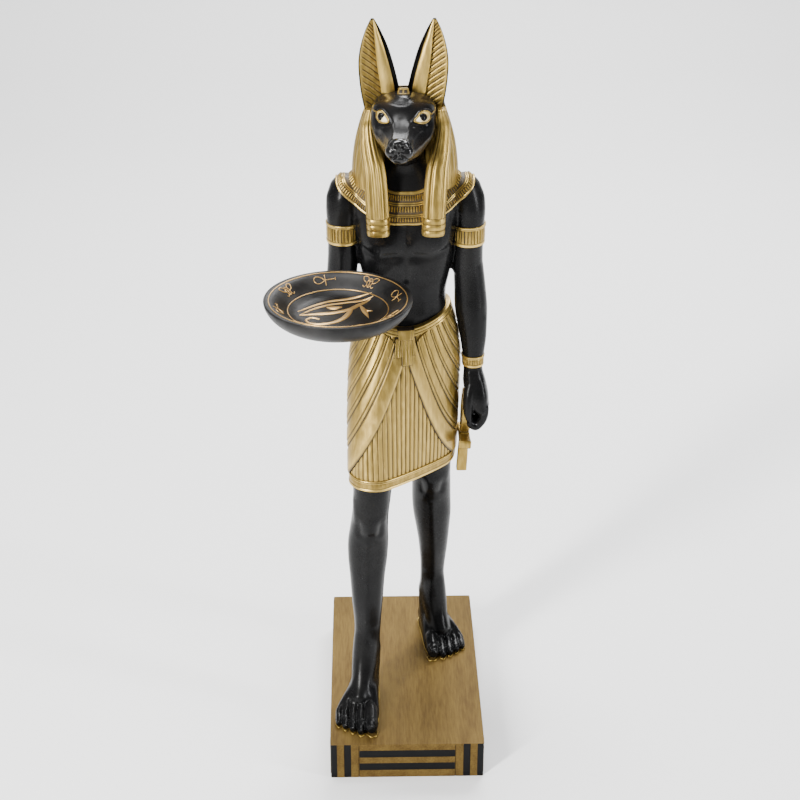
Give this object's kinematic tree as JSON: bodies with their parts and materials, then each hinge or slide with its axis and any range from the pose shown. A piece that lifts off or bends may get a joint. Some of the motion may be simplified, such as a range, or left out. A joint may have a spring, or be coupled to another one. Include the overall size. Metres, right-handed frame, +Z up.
{
  "type": "anubis butler statue",
  "caption": "Striding jackal-headed figure in collar, wig and pleated kilt on a block plinth, holding out a round dish, with an ankh in its lowered fist.",
  "frame": {"origin": "centre of the plinth's underside", "axes": "+Z up, the figure faces -Y, its left arm with the ankh is on +X"},
  "size_m": [0.2619, 0.3895, 0.9148],
  "materials": {
    "plinth_gold": "brushed antique gold paint with black bars on cast resin",
    "figure_black": "satin black skin, with wig, ears, collar, bands, kilt and ankh in antique gold paint, on cast resin",
    "dish_black": "satin black with gold line symbols on cast resin"
  },
  "bodies": {
    "root": {"plinth": "plinth_gold", "figure": "figure_black", "dish": "dish_black"}
  },
  "joints": []
}
